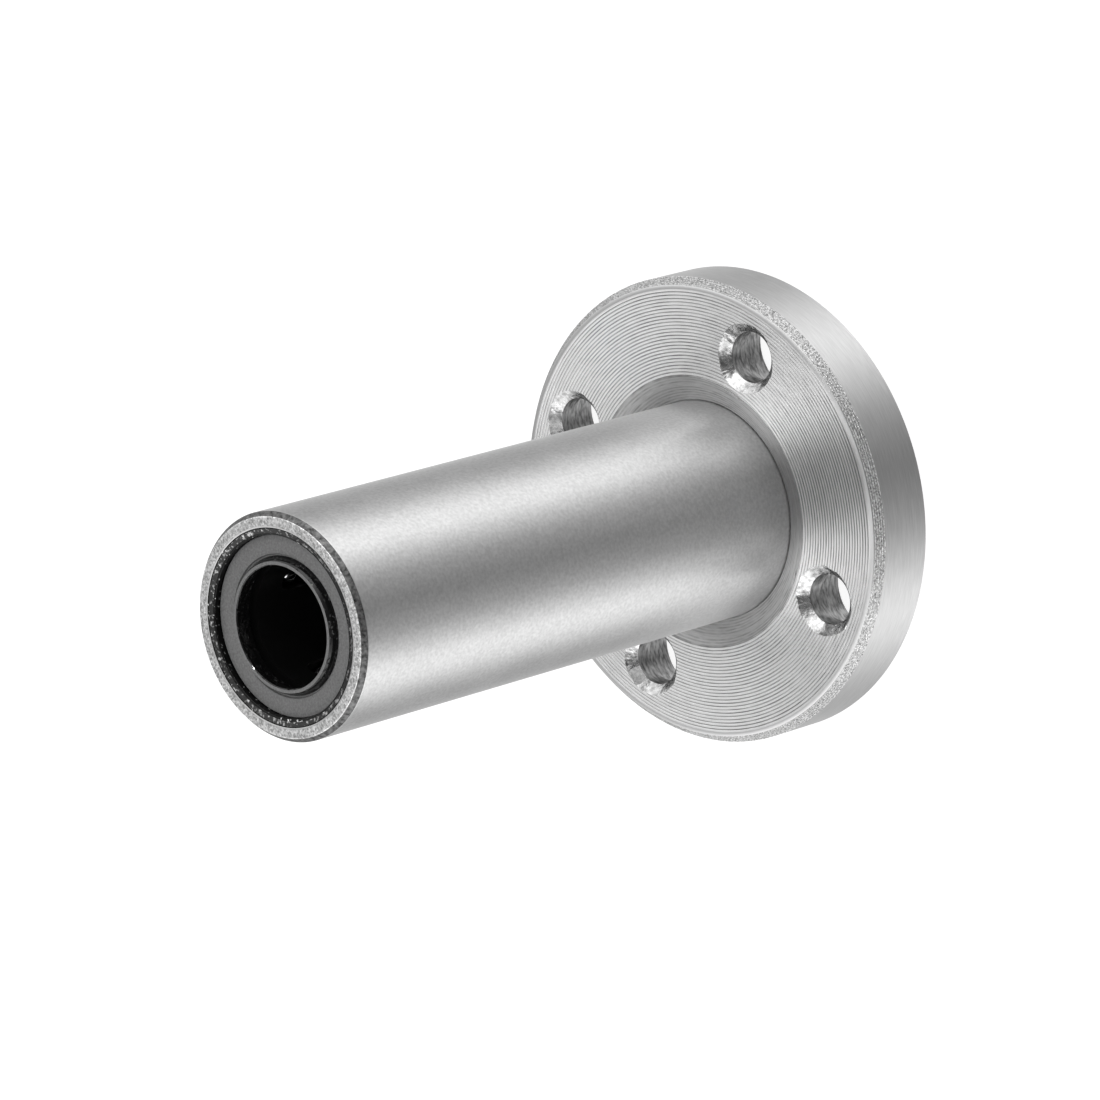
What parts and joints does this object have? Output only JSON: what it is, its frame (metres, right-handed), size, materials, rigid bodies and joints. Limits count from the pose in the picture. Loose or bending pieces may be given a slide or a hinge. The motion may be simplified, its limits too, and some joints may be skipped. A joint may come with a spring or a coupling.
{
  "type": "flanged linear bearing",
  "caption": "Long linear ball bearing with a round bolt-on flange: a ground steel sleeve with lipped rubber seals guides a round shaft.",
  "frame": {"origin": "centre of the flange's free face, on the shaft axis", "axes": "+Z along the shaft axis, from the flange to the sleeve's nose; the bolt holes lie between the X and Y axes"},
  "size_m": [0.032, 0.032, 0.045],
  "materials": {
    "flange_steel": "turned steel with fine concentric grooves on the front face and a satin rim",
    "sleeve_steel": "hardened steel, ground satin outside, darker and unground inside",
    "seal_rubber": "matte grey nitrile rubber",
    "spring_steel": "dark spring steel",
    "cage_plastic": "black moulded acetal",
    "ball_steel": "polished bearing steel"
  },
  "bodies": {
    "root": {"flange": "flange_steel", "outer_sleeve": "sleeve_steel", "front_seal": "seal_rubber", "rear_seal": "seal_rubber", "front_snap_ring": "spring_steel", "rear_snap_ring": "spring_steel", "front_cage": "cage_plastic", "rear_cage": "cage_plastic", "front_balls_1": "ball_steel", "front_balls_2": "ball_steel", "front_balls_3": "ball_steel", "front_balls_4": "ball_steel", "rear_balls_1": "ball_steel", "rear_balls_2": "ball_steel", "rear_balls_3": "ball_steel", "rear_balls_4": "ball_steel"}
  },
  "joints": []
}
